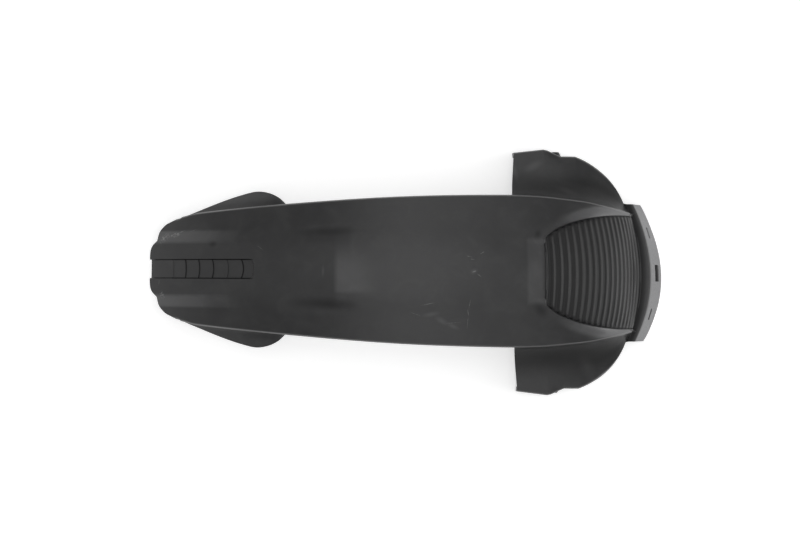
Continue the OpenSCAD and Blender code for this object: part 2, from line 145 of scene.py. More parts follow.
def top_z(x):
    back = CREST_Z - BACK_R + np.sqrt(BACK_R**2 - (x - CREST_X) ** 2)
    crown = CREST_Z - CROWN_R + np.sqrt(CROWN_R**2 - (x - CREST_X) ** 2)
    nose = nose_z(np.minimum(x, RIM_X)) - np.maximum(x - RIM_X, 0) * RIM_FALL / RIM_W
    return np.where(x < CREST_X, back, np.where(x < PAD_X, crown, nose))


def tail_fall(y):
    slope = RIDGE_H * ramp((y - RIDGE_W) / RIDGE_SLOPE_W)
    return slope + TAIL_LEAN * np.maximum(y - RIDGE_W - RIDGE_SLOPE_W, 0)


def fall(x, y):
    """How far the top lies below top_z, with the dents and the band behind the tread."""
    across = mix(tail_fall(y), y * y / (2 * CROSS_R), ease((x - BLEND_X) / BLEND_L))
    dent = DENT_H * ease(1 - abs(y - DENT_Y) / DENT_W) * ease(1 - abs(x - DENT_X) / DENT_L)
    band = BAND_FALL * ease(1 - (PAD_X - x) / BAND_L) * ease((BAND_W + 2 - y) / 3)
    flatter = mix(1, NOSE_FLAT, ease((x - NOSE_FLAT_X) / NOSE_FLAT_L))
    return across * flatter + dent + np.where(x > PAD_X, 0, band)


def back_x(s):
    """The place along the length at the distance s behind the channel's front end."""
    return CREST_X - BACK_R * math.sin(math.asin((CREST_X - CHANNEL_X) / BACK_R) + s / BACK_R)


def pad_place(s):
    """The place along the length at the distance s along the tread."""
    return NOSE_MID[0] + NOSE_R * np.sin(PAD_A + s / NOSE_R)


def tread_s(x):
    return NOSE_R * (np.arcsin(np.clip((x - NOSE_MID[0]) / NOSE_R, -1, 1)) - PAD_A)


STEP_X = [back_x(0 if k == 0 else STEP_FIRST + (k - 1) * STEP_PITCH) for k in range(STEP_COUNT, -1, -1)]
RIM_S = (math.asin((RIM_X - NOSE_MID[0]) / NOSE_R) - PAD_A) * NOSE_R


def bend(x):
    """How strongly lines across the part bow back towards the sides."""
    return mix(0.0022, 0.0045, (x - PAD_X) / (NOSE_X - PAD_X)) * ease((x - PAD_X + 16) / 16)


def tail_shift(x, y):
    """How far the rounded tail end lies in front of its place in the middle."""
    fade = np.clip((TAIL_ROUND_X - x) / (TAIL_ROUND_X - TAIL_X), 0, 1)
    bow = TAIL_BOW * (np.minimum(y, TAIL_MIDDLE_W) / TAIL_MIDDLE_W) ** 6
    slant = TAIL_SLANT * np.maximum(y - TAIL_MIDDLE_W, 0)
    return fade * (bow + slant + TAIL_HOOK * np.maximum(y - TAIL_CORNER_W, 0) ** 2)


def arc_sag(r, y):
    return r - np.sqrt(r * r - y * y)


# Places of the key rows on the top
def row_y(r, x):
    """How far the key row r lies from the middle at the station x."""
    w, p = BODY_W * curve(LIP, x), TREAD_W * curve(PAD, x)
    b = ease((x + 88) / 60)
    f = np.minimum(1, (w - 2.2) / 26)
    edge = mix((RIDGE_W + RIDGE_SLOPE_W) * f, p, b)
    nose = ease((x - 100) / 40)
    lip_top = w - LIP_R * mix(1, 0.7, nose)
    tail = [0, CHANNEL_W, CHANNEL_W + 0.4, 11, RIDGE_W * f]
    pad = [0, p * 0.26, p * 0.52, p * 0.78, p - 0.9]
    if r < EDGE:
        return mix(tail[r], pad[r], b)
    if r == EDGE:
        return edge
    if r == EDGE + 1:
        return (edge + lip_top) / 2
    if r == LIP_TOP:
        return lip_top
    if r == LIP_OUT:
        return w
    if r == LIP_UNDER:
        return w - 0.8 * mix(1, 0.3, nose)
    return w - 1.4 * mix(1, 0.3, nose)


def lip_depth(x, z, full):
    return full * mix(1, 0.35, ease((x - 100) / 40)) * np.minimum(1, z / 16)


def top_point(x, y):
    """A point of the plain top, without tread, ribs or channel."""
    px = x - bend(x) * y * y + tail_shift(x, y)
    limit = np.minimum(y, row_y(LIP_TOP, x))
    return np.array([px, y, top_z(px) - fall(px, limit)])


def skirt_depth(x, z):
    return np.minimum(SKIRT_DROP, z * 0.6) * mix(1, 0.15, ease((x - 85) / 55))


def skirt_point(x):
    p = top_point(x, row_y(LIP_TOP, x))
    return np.array([p[0], row_y(SKIRT, x), p[2] - skirt_depth(x, p[2])])


def under_point(x, r):
    y = row_y(r, x)
    p = top_point(x, y)
    p[2] -= lip_depth(x, p[2], LIP_SIDE if r == LIP_OUT else LIP_BELOW)
    return p


# The tail lobes, the wings and the front flange
def lobe_point(x, t):
    a = skirt_point(x)
    foot = float(curve(LOBE_FOOT, x))
    return np.array([a[0], mix(a[1], LOBE_W * float(curve(LOBE, x)), t * t), mix(a[2], foot, t)])


WING_S = np.concatenate([[0], np.cumsum([math.dist(a, b) for a, b in zip(WING, WING[1:])])])


def wing_at(outline, s):
    return np.array([np.interp(s, WING_S, [p[k] for p in outline]) for k in (0, 1)])


WING_T = [0, 0.12, 0.4, 0.75, 1]
WING_FALL = [0, 0.34, 0.66, 0.88, 1]


def wing_parts(x, share):
    """Start, upper end, edge and foot of one wing section; share runs round the outline."""
    a = skirt_point(x)
    s = share * WING_S[-1]
    d = unit(wing_at(WING, min(s + 1, WING_S[-1])) - wing_at(WING, max(s - 1, 0)))
    lean = mix(0.4, WING_LEAN, float(ease((s - 30) / 30))) * np.array([d[1], -d[0]])
    edge_z = mix(WING_EDGE_Z, LEDGE_Z - 0.5, float(ease((s - 60) / 40)))
    upper, foot = wing_at(WING_TOP, s), wing_at(WING, s)
    return a, np.array([*(upper + lean), edge_z]), np.array([*(foot + lean), edge_z]), np.array([*foot, 0])


def wing_points(x, share):
    """The key points of one wing section from the skirt to the foot."""
    a, b, edge, foot = wing_parts(x, share)
    shares = zip(WING_T[:-1], WING_FALL[:-1])
    return [np.array([*mix(a[:2], b[:2], t), mix(a[2], b[2], f)]) for t, f in shares] + [edge, foot]


def flange_point(k, y):
    """A point of the ledge's inner edge (k = 1), of its outer edge (2) or of the flange's foot (3)."""
    if k == 1:
        return np.array([LEDGE_IN_X - arc_sag(LEDGE_IN_R, y), y, LEDGE_Z])
    if k == 2:
        return np.array([LEDGE_OUT_X - arc_sag(LEDGE_OUT_R, y), y, LEDGE_Z - 0.2])
    return np.array([FLANGE_X - arc_sag(FLANGE_R, y), y, FLANGE_RISE * float(ease((y - 26) / 22))])


def flange_rows():
    """How far the key rows lie from the middle on the ledge and the flange."""
    ys = [float(row_y(r, NOSE_X)) for r in range(LIP_OUT + 1)]
    rest = WING_EDGE - LIP_OUT
    return ys + [mix(ys[LIP_OUT], LEDGE_W, k / rest) for k in range(1, rest + 2)]


def front_skew(x):
    """How far the front is turned towards one side, in mm along the length for each mm across."""
    beyond = np.clip((x - NOSE_X) / (FLANGE_X - NOSE_X), 0, 1)
    return FRONT_TURN * ease((x - TURN_X) / TURN_L) + FLANGE_TURN * beyond


# Key stations along the length, shared by the inner face
def key_stations():
    steps = []
    for k, x in enumerate(STEP_X):
        steps += [x - 0.35, x + 0.35] + ([mix(x, STEP_X[k + 1], 0.5)] if k < STEP_COUNT else [])
    tail = [TAIL_X, TAIL_X + 3.4, TAIL_X + 8, TAIL_X + 12.4]
    shell = tail + steps + list(np.arange(-87, -65, 3.5)) + [LOBE_END_X] + list(np.arange(-50, 50, 12.4))
    wing = [WING_X, WING_X + 4, WING_X + 9, WING_X + 14, PAD_X]
    ribs = [pad_place(RIB_START + (k - 1) * RIB_PITCH / 2) for k in range(2 * RIB_COUNT + 1)]
    return shell, wing + ribs + [RIM_X + 0.8, NOSE_X]


SHELL_X, WING_XS = key_stations()
KEY_X = SHELL_X + WING_XS
N_WING, N_NOSE = len(SHELL_X), len(KEY_X) - 1
N_LOBE = SHELL_X.index(LOBE_END_X)


def wing_share(x):
    return float(np.interp(x, WING_XS, np.linspace(0, 1, len(WING_XS))))


def tread_floor(x):
    return x > PAD_X + 0.1


def key_section(i):
    """The key points of half a section, from the middle to the foot."""
    if i > N_NOSE:
        return [flange_point(i - N_NOSE, y) for y in flange_rows()]
    x = KEY_X[i]
    rows = [top_point(x, row_y(r, x)) for r in range(LIP_TOP + 1)]
    if tread_floor(x):
        for p in rows[:EDGE]:
            p[2] -= PAD_DEPTH
    rows += [under_point(x, LIP_OUT), under_point(x, LIP_UNDER)]
    if i >= N_WING:
        return rows + wing_points(x, wing_share(x))
    if i <= N_LOBE:
        return rows + [lobe_point(x, k / (FOOT - SKIRT)) for k in range(FOOT - SKIRT + 1)]
    return rows + [skirt_point(x)] * (FOOT - SKIRT + 1)


def inner_key_grid():
    """The inner face at the key stations: the plain outer face moved in by the wall."""
    base = np.array([key_section(i) for i in range(N_NOSE + 4)])
    last = len(base) - 1
    inner = base.copy()
    for i in range(len(base)):
        for r in range(FOOT + 1):
            has_wall = r <= SKIRT or i <= N_LOBE or i >= N_WING
            if not has_wall or (i > N_NOSE and r > WING_EDGE):
                continue
            lowest = SKIRT if N_LOBE < i < N_WING else WING_EDGE if i > N_NOSE else FOOT
            free_back = i == 0 or (r > SKIRT and i == N_WING)
            free_front = i == last or (r > SKIRT and i == N_LOBE) or (r == FOOT and i == N_NOSE)
            along = base[i if free_front else i + 1, r] - base[i if free_back else i - 1, r]
            up = base[i, min(r + 1, lowest)]
            down = base[i, r - 1] if r > 0 else base[i, 1] * [1, -1, 1]
            n = unit(np.cross(along, up - down))
            if r == FOOT or i == last:
                n[2] *= min(base[i, r][2] / 6, 1) if i <= N_LOBE else 0
            inner[i, r] = base[i, r] - WALL * unit(n)
    return inner


# Dense grid of the visible moulding: lines between two key rows, towards the wing's edge, down its wall
GAP_LINES = [4, 3, 4, 5, 5, 6, 5, 7, 4, 3, 5, 6, 6]
EDGE_LINES = [0, 0.2, 0.4, 0.6, 0.78, 0.9, 0.97]
WALL_LINES = [0, 0.04, 0.12, 0.35, 0.68, 1]
TREAD_LINES = 8
# Bow of the steps in the channel at the tail and at its front end
ARC_MIN, ARC_MAX = 0.0, 1.4
EDGE_ROUND, LEDGE_IN_ROUND, LEDGE_OUT_ROUND = 1.0, 0.7, 1.1
MIN_GAP = 0.18


def dense_rows():
    rows = [r + k / n for r, n in enumerate(GAP_LINES) for k in range(n)]
    rows += [WING_EDGE - 1 + f for f in EDGE_LINES] + [WING_EDGE + f for f in WALL_LINES]
    return np.array(rows)


def dense_stations():
    """Places of the columns up to the nose edge, closer together where the form turns quickly."""
    parts = [np.arange(TAIL_X, -90, 1.6), np.arange(-90, LOBE_END_X, 2.0),
             np.arange(LOBE_END_X, WING_X, 3.0), np.arange(WING_X, PAD_X - 1, 1.9),
             [PAD_X - 0.7, PAD_X - 0.3, PAD_X]]
    for x in STEP_X:
        parts.append([x - 0.55, x - 0.2, x + 0.2, x + 0.55])
    s = np.concatenate([np.arange(0.3, 2.2, 0.3), np.arange(2.2, RIM_S, RIB_PITCH / TREAD_LINES)])
    parts += [pad_place(s), np.arange(RIM_X, NOSE_X - 0.9, 0.4), [LOBE_END_X, WING_X]]
    x = np.unique(np.round(np.concatenate(parts), 4))
    fixed = {round(v, 4) for v in (TAIL_X, LOBE_END_X, WING_X, PAD_X)}
    kept = []
    for v in x:
        if kept and v - kept[-1] < MIN_GAP:
            if v in fixed:
                kept[-1] = v
            continue
        kept.append(v)
    return np.array(kept)


def channel_bow(x, y):
    """How far the lines across the channel bow forward in its middle."""
    along = (x - TAIL_X) / (CHANNEL_X - TAIL_X)
    return mix(ARC_MIN, ARC_MAX, along) * np.maximum(1 - (y / CHANNEL_W) ** 2, 0)


def channel_depth(x, y):
    along = np.clip((x - TAIL_X) / (CHANNEL_X - TAIL_X), 0, 1)
    passed = sum(ease((x - s + 0.2) / 0.4) for s in STEP_X[:-1])
    depth = mix(CHANNEL_SHALLOW, CHANNEL_DEPTH, along) - STEP_H * (0.5 - passed + along * STEP_COUNT)
    inside = ease((CHANNEL_W + 0.5 - y) / 0.7) * ease((CHANNEL_X - x + 0.25) / 0.5)
    return depth * inside


def tread_relief(x, y, pad_w):
    """The sunk tread with its ribs, and the raised shoulder beside it."""
    s = tread_s(x)
    floor = ease(s / 1.7) * ease((pad_w - y) / 0.9)
    wave = (0.5 + 0.5 * np.cos(2 * math.pi * (s - RIB_START) / RIB_PITCH)) ** 1.3
    reach = ease((s - RIB_START + RIB_PITCH / 2) / 1.0) * ease((RIM_S + 0.4 - s) / 0.8)
    rib = RIB_H * np.maximum(wave * reach, ease((x - RIM_X + 0.2) / 1.0)) * ease((pad_w - 1.1 - y) / 1.3)
    away = np.maximum(y - pad_w, 0)
    shoulder = SHOULDER_H * ease((x - PAD_X) / 16) * ease((y - pad_w + 0.9) / 0.9) * (1 - ease(away / 5.5))
    return np.where(x > PAD_X, rib - PAD_DEPTH * floor + shoulder, 0)


def dense_top(x, q):
    """Outer points on the top, for one station x and the rows q up to the lip."""
    key_y = np.array([row_y(r, x) for r in range(LIP_TOP + 1)])
    y = np.interp(q, np.arange(LIP_TOP + 1), key_y)
    px = x - bend(x) * y * y + tail_shift(x, y)
    if x < CHANNEL_X + 1:
        px += channel_bow(x, y)
    px += TAIL_NOTCH * ease((TAIL_X + 3 - x) / 3) * (y < CHANNEL_W + 0.15)
    z = top_z(px) - fall(px, y) - channel_depth(x, y) + tread_relief(x, y, TREAD_W * curve(PAD, x))
    return np.stack([px, y, z], 1)


def dense_lip(x, q):
    """Outer points round the lip and down to the skirt."""
    top = top_point(x, row_y(LIP_TOP, x))
    w, start = row_y(LIP_OUT, x), row_y(LIP_TOP, x)
    r = w - start
    side, below = lip_depth(x, top[2], LIP_SIDE), lip_depth(x, top[2], LIP_BELOW)
    skirt = skirt_point(x)
    below = min(below, 0.8 * (top[2] - skirt[2]))
    side = min(side, 0.75 * below)
    b = np.array([[start, 0], [w - 0.56 * r, 0.14 * r], [w - 0.38 * r, 0.2 * side], [w, side]])
    under = np.array([row_y(LIP_UNDER, x), below])
    out = []
    for v in q:
        if v <= LIP_OUT:
            t = v - LIP_TOP
            near = (1 - t) ** 3 * b[0] + 3 * t * (1 - t) ** 2 * b[1]
            y, d = near + 3 * t * t * (1 - t) * b[2] + t**3 * b[3]
        elif v <= LIP_UNDER:
            y, d = mix(b[3], under, v - LIP_OUT)
        else:
            y, d = mix(under, np.array([skirt[1], top[2] - skirt[2]]), v - LIP_UNDER)
        px = top_point(x, min(y, w))[0]
        out.append([px, y, top[2] - d])
    return np.array(out)


WING_T_CURVE = list(enumerate(WING_T))
WING_FALL_CURVE = list(enumerate(WING_FALL))


def dense_side(x, q):
    """Outer points of a lobe or a wing, from the skirt to the foot."""
    if x <= LOBE_END_X:
        return np.array([lobe_point(x, (v - SKIRT) / (FOOT - SKIRT)) for v in q])
    if x < WING_X:
        return np.array([skirt_point(x)] * len(q))
    a, b, edge, foot = wing_parts(x, wing_share(x))
    out = []
    for v in q:
        k = min(v, WING_EDGE) - SKIRT
        t, f = float(curve(WING_T_CURVE, k)), float(curve(WING_FALL_CURVE, k))
        end = mix(b, edge, float(ease((k - 3) / 1.0)))
        p = np.array([*mix(a[:2], end[:2], t), mix(a[2], b[2], f)])
        out.append(p if v <= WING_EDGE else mix(edge, foot, v - WING_EDGE))
    out = np.array(out)
    # the edge of the wing is a little rounded
    near = (q > WING_EDGE - 0.15) & (q < WING_EDGE + 0.13)
    before, after = out[q <= WING_EDGE - 0.15][-1], out[q >= WING_EDGE + 0.13][0]
    t = np.linspace(0, 1, near.sum() + 2)[1:-1, None]
    out[near] = (1 - t) ** 2 * before + 2 * t * (1 - t) * edge + t * t * after
    return out


def corner(p, a, b, r, t):
    """A point on the rounded corner p between the neighbours a and b."""
    start, end = p + unit(a - p) * r, p + unit(b - p) * r
    return (1 - t) ** 2 * start + 2 * t * (1 - t) * p + t * t * end


def dense_column(x, q):
    """All outer points at the station x, from the middle to the foot."""
    top, lip, side = q[q <= LIP_TOP], q[(q > LIP_TOP) & (q <= SKIRT)], q[q > SKIRT]
    return np.concatenate([dense_top(x, top), dense_lip(x, lip), dense_side(x, side)])


def dense_grid():
    """Outer points and key coordinates of every column and half row."""
    q, xs = dense_rows(), dense_stations()
    columns = [dense_column(x, q) for x in xs]
    places = [float(np.interp(x, KEY_X, np.arange(len(KEY_X)))) for x in xs]
    nose = dense_column(NOSE_X, q)
    y = np.interp(q, np.arange(FOOT + 1), flange_rows())
    a, b, c = (np.array([flange_point(k, v) for v in y]) for k in (1, 2, 3))
    outside = (q > LIP_OUT)[:, None]

    def add(p, place):
        columns.append(p)
        places.append(N_NOSE + place)

    add(np.where(outside, nose, corner(nose, columns[-1], a, EDGE_ROUND, 0.3)), 0)
    add(np.where(outside, nose + (a - nose) * 0.08, corner(nose, columns[-2], a, EDGE_ROUND, 0.65)), 0.08)
    add(np.where(outside, nose + (a - nose) * 0.2, corner(nose, columns[-3], a, EDGE_ROUND, 1)), 0.2)
    for t, place in ((0, 0.82), (0.5, 0.95), (1, 1.1)):
        add(corner(a, nose, b, LEDGE_IN_ROUND, t), place)
    add(mix(a, b, 0.5), 1.5)
    for t, place in ((0, 1.82), (0.33, 1.9), (0.67, 1.97), (1, 2.06)):
        add(corner(b, a, c, LEDGE_OUT_ROUND, t), place)
    for t in np.linspace(0.2, 1, 9):
        add(mix(b, c, t), 2 + t)
    return q, np.array(places), np.array(columns)


def cell_filled(c, q):
    """Whether the grid has material at the key column c and key row q."""
    return (q < SKIRT or c < N_LOBE or (N_WING < c < N_NOSE) or (c > N_NOSE and q < WING_EDGE))


def moulding_mesh(name):
    """The closed wall between the dense outer face and the inner face, mirrored and turned at the front."""
    q, places, outer = dense_grid()
    inner_keys = inner_key_grid()
    ci = np.minimum(places.astype(int), len(inner_keys) - 2)
    cf = (places - ci)[:, None, None]
    ri = np.minimum(q.astype(int), FOOT - 1)
    rf = (q - ri)[None, :, None]
    k = inner_keys
    inner = ((k[ci][:, ri] * (1 - rf) + k[ci][:, ri + 1] * rf) * (1 - cf)
             + (k[ci + 1][:, ri] * (1 - rf) + k[ci + 1][:, ri + 1] * rf) * cf)
    mirror = np.array([1, -1, 1])
    full = [np.concatenate([(g * mirror)[:, :0:-1], g], 1) for g in (outer, inner)]
    for g in full:
        g[..., 0] -= front_skew(g[..., 0]) * g[..., 1]
    n_col, n_row = full[0].shape[:2]
    row_q = np.concatenate([q[:0:-1], q])
    filled = np.zeros((n_col + 1, n_row + 1), bool)
    for i in range(n_col - 1):
        for j in range(n_row - 1):
            middle = (places[i] + places[i + 1]) / 2, (row_q[j] + row_q[j + 1]) / 2
            filled[i + 1, j + 1] = cell_filled(*middle)
    used = filled[:-1, :-1] | filled[1:, :-1] | filled[:-1, 1:] | filled[1:, 1:]
    number = np.full((n_col, n_row), -1)
    number[used] = np.arange(used.sum())
    count = int(used.sum())
    verts = np.concatenate([full[0][used], full[1][used]]) * MM
    faces = []
    for i in range(n_col - 1):
        for j in range(n_row - 1):
            if not filled[i + 1, j + 1]:
                continue
            a, b, d, e = number[i, j], number[i + 1, j], number[i, j + 1], number[i + 1, j + 1]
            faces.append((a, b, e, d))
            faces.append((a + count, d + count, e + count, b + count))
            if not filled[i + 1, j]:
                faces.append((b, a, a + count, b + count))
            if not filled[i + 1, j + 2]:
                faces.append((d, e, e + count, d + count))
            if not filled[i, j + 1]:
                faces.append((a, d, d + count, a + count))
            if not filled[i + 2, j + 1]:
                faces.append((e, b, b + count, e + count))
    mesh = bpy.data.meshes.new(name)
    mesh.from_pydata(verts.tolist(), [], faces)
    mesh.validate()
    return mesh


# Round parts joined to the moulding and holes cut in it
SCREW_COUNT, SCREW_DX, SCREW_DY, SCREW_D, SCREW_L = 4, 44.0, 20.0, 4.0, 10.0
SHOE_R, SHOE_T, SHOE_GAP, BOSS_D, BOSS_DEEP = 104.0, 2.0, 9.0, 9.0, 2.3
SHOE_TOP_Z = CREST_Z - WALL - SHOE_GAP
SCREW_TILT = math.asin(SCREW_DX / 2 / (SHOE_R + SHOE_T))


def add_object(name, mesh):
    obj = bpy.data.objects.new(name, mesh)
    bpy.context.scene.collection.objects.link(obj)
    return obj


def turned(name, rings, place, sides=64):
    """A closed solid turned round its own Z axis from (height, radius) rings, in millimetres."""
    verts, faces = [], []
    for h, r in rings:
        for k in range(sides):
            a = 2 * math.pi * k / sides
            verts.append(place @ Vector((r * math.cos(a), r * math.sin(a), h)) * MM)
    for i in range(len(rings) - 1):
        for k in range(sides):
            n = (k + 1) % sides
            faces.append((i * sides + k, i * sides + n, (i + 1) * sides + n, (i + 1) * sides + k))
    faces.append(tuple(reversed(range(sides))))
    faces.append(tuple((len(rings) - 1) * sides + k for k in range(sides)))
    mesh = bpy.data.meshes.new(name)
    mesh.from_pydata([tuple(v) for v in verts], [], faces)
    return add_object(name, mesh)


def rounded_box(name, size, round_r, place):
    """A slot cutter: a box along X whose section across it has round corners."""
    hy, hz = size[1] / 2, size[2] / 2
    ring = []
    for cy, cz, start in ((1, 1, 0), (-1, 1, 90), (-1, -1, 180), (1, -1, 270)):
        for k in range(5):
            a = math.radians(start + k * 22.5)
            y, z = round_r * math.cos(a), round_r * math.sin(a)
            ring.append((cy * (hy - round_r) + y, cz * (hz - round_r) + z))
    n = len(ring)
    verts = [place @ Vector((sx * size[0] / 2, y, z)) * MM for sx in (-1, 1) for y, z in ring]
    faces = [(k, (k + 1) % n, n + (k + 1) % n, n + k) for k in range(n)]
    faces += [tuple(reversed(range(n))), tuple(range(n, 2 * n))]
    mesh = bpy.data.meshes.new(name)
    mesh.from_pydata([tuple(v) for v in verts], [], faces)
    return add_object(name, mesh)


def at_screw(k):
    side, end = (1 if k % 2 == 0 else -1), (1 if k < 2 else -1)
    top = Matrix.Translation((CREST_X, side * SCREW_DY / 2, SHOE_TOP_Z - SHOE_R - SHOE_T))
    return top @ Matrix.Rotation(end * SCREW_TILT, 4, "Y") @ Matrix.Translation((0, 0, SHOE_R + SHOE_T))


def across(side, y):
    """A frame whose Z axis points outwards along Y at the pivot eye."""
    return Matrix.Translation((EYE_X, side * y, EYE_Z)) @ Matrix.Rotation(-side * math.pi / 2, 4, "X")


def combine(obj, others, operation):
    for other in others:
        m = obj.modifiers.new("cut", "BOOLEAN")
        m.operation, m.object, m.solver = operation, other, "MANIFOLD"
    bpy.context.view_layer.update()
    done = bpy.data.meshes.new_from_object(obj.evaluated_get(bpy.context.evaluated_depsgraph_get()))
    obj.modifiers.clear()
    obj.data = done
    for other in others:
        bpy.data.objects.remove(other)


def shade(obj, angle):
    for p in obj.data.polygons:
        p.use_smooth = True
    obj.data.set_sharp_from_angle(angle=math.radians(angle))


SIDES = (-1, 1)
EYE_TAPER_L, EYE_TAPER = 3.2, 1.3
# How far the bores reach before the inner end of an eye and beyond its outer end
BORE_BEFORE, BORE_BEYOND = 1.0, 3.0
moulding = add_object("mudguard_moulding", moulding_mesh("mudguard_moulding"))
eye_l, eye_r = EYE_OUT_Y - EYE_IN_Y, EYE_D / 2
eye_rings = [(0, eye_r - 0.4), (0.4, eye_r), (eye_l - EYE_TAPER_L, eye_r), (eye_l - 0.4, eye_r - EYE_TAPER),
             (eye_l, eye_r - EYE_TAPER - 0.4)]
eyes = [turned("eye", eye_rings, across(side, EYE_IN_Y)) for side in SIDES]
boss_rings = [(0, BOSS_D / 2 - 0.3), (0.3, BOSS_D / 2), (SHOE_GAP + BOSS_DEEP, BOSS_D / 2)]
bosses = [turned("boss", boss_rings, at_screw(k)) for k in range(SCREW_COUNT)]
combine(moulding, eyes + bosses, "UNION")
bore_rings = [(0, EYE_BORE / 2), (eye_l + (BORE_BEFORE + BORE_BEYOND), EYE_BORE / 2)]
bores = [turned("bore", bore_rings, across(side, EYE_IN_Y - BORE_BEFORE)) for side in SIDES]
pilot_r = SCREW_D / 2 + 0.05
pilot_rings = [(-0.1, pilot_r), (SCREW_L - SHOE_T + 0.8, pilot_r)]
pilots = [turned("pilot", pilot_rings, at_screw(k)) for k in range(SCREW_COUNT)]
slot_x = (LEDGE_OUT_X + FLANGE_X) / 2
slots = [rounded_box("slot", (SLOT_CUT_L, SLOT_W, SLOT_H), 0.8, Matrix.Translation((slot_x, 0, SLOT_Z)))]
for side in SIDES:
    place = Matrix.Translation((slot_x - SIDE_SLOT_BACK, side * SIDE_SLOT_Y, SIDE_SLOT_Z))
    place = place @ Matrix.Rotation(math.radians(side * SIDE_SLOT_TURN), 4, "Z")
    slots.append(rounded_box("slot", (SIDE_SLOT_CUT_L, SIDE_SLOT_W, SIDE_SLOT_H), 0.7, place))
combine(moulding, bores + pilots + slots, "DIFFERENCE")
shade(moulding, 38)


# Painted shade on the tread, as factors on the plain plastic for the rib valleys and the crests, at the
# rear and at the front of the tread
VALLEY_PAINTED_SHADE, CREST_PAINTED_SHADE = (0.56, 0.32), (0.5, 1.0)
# Painted highlight on the shoulders beside the tread and painted light on the tail lobes, as factors for
# the left and the right side of the part, stronger on the left where more light falls
SHOULDER_PAINTED_HIGHLIGHT, LOBE_PAINTED_LIGHT = (3.0, 2.4), (1.9, 1.35)
# Painted shade on the wings beside the lip, rising to nearly plain plastic outwards of WING_FADE mm over
# the lengths for the left and the right side
WING_LIP_PAINTED_SHADE, WING_TONE, WING_FADE, WING_FADE_L = 0.36, 0.98, 47.0, (18, 23)
# Painted light on the side slopes of the tail's ridge, painted shade along the channel's steps and painted
# light on the face of the flange, which is the same black plastic
SLOPE_PAINTED_LIGHT, STEP_PAINTED_SHADE, FLANGE_PAINTED_LIGHT = 1.9, 0.4, 6.4
# Painted shade at the foot of the ledge, painted light on its middle and painted shade at its outer edge
LEDGE_FOOT_PAINTED_SHADE, LEDGE_PAINTED_LIGHT, LEDGE_EDGE_PAINTED_SHADE = 0.4, 1.25, 0.5
# Painted light in front of the crease across the back, a painted highlight (the shine) just in front of it
# and painted light on the band behind the tread
CREASE_X, CREASE_PAINTED_LIGHT, SHINE_PAINTED_HIGHLIGHT, BAND_PAINTED_LIGHT = -44.0, 0.14, 0.4, 0.3


# Painted shade on the tread: darker overall, and darker in the rib valleys than on the crests towards the
# front
def tread_painted_shade(station, away, pad_w):
    front = ease((station - 100) / 38)
    wave = (0.5 + 0.5 * np.cos(2 * math.pi * (tread_s(station) - RIB_START) / RIB_PITCH)) ** 1.5
    inside = ease((station - PAD_X) / 2) * ease((pad_w - away) / 1.0)
    return mix(1, mix(mix(*VALLEY_PAINTED_SHADE, front), mix(*CREST_PAINTED_SHADE, front), wave), inside)


def back_painted_light(x, y, away):
    """Painted light in front of the crease, the painted shine and the painted light on the band, on the
    middle of the back.
    """
    crease = ease((x - CREASE_X) / 1.5) * ease((60 - x) / 50) * ease((24 - away) / 12)
    shine = ease((x - CREASE_X - 1) / 1.5) * ease((-14 - x) / 24) * ease((y + 15) / 3) * ease((16 - y) / 18)
    band = ease((x - PAD_X + BAND_L) / 1.5) * ease(PAD_X - 0.5 - x) * ease((BAND_W + 3 - away) / 2)
    return (1 + CREASE_PAINTED_LIGHT * crease) * (1 + SHINE_PAINTED_HIGHLIGHT * shine) * (1 + BAND_PAINTED_LIGHT * band)


def front_painted_light_and_shade(x, z, away, tone):
    """Painted shade and light on the ledge and painted light on the outer face of the flange; other places
    keep their tone.
    """
    away = np.minimum(away, 60)
    ledge_in = LEDGE_IN_X - arc_sag(LEDGE_IN_R, away)
    ledge_out = LEDGE_OUT_X - arc_sag(LEDGE_OUT_R, away)
    on_ledge = (x > ledge_in - 0.3) & (z > LEDGE_Z - 1.5)
    ledge_light_and_shade = mix(LEDGE_FOOT_PAINTED_SHADE, LEDGE_PAINTED_LIGHT, ease((x - ledge_in - 1.5) / 3))
    ledge_light_and_shade *= mix(1, LEDGE_EDGE_PAINTED_SHADE, ease((x - ledge_out + 0.9) / 0.9))
    face = mix(FLANGE_X - arc_sag(FLANGE_R, away), ledge_out, np.clip(z / LEDGE_Z, 0, 1))
    on_flange = (x > ledge_out + 0.9) & (z < LEDGE_Z - 0.9) & (face - x < 1.2)
    return np.where(on_flange, FLANGE_PAINTED_LIGHT, np.where(on_ledge, ledge_light_and_shade, tone))


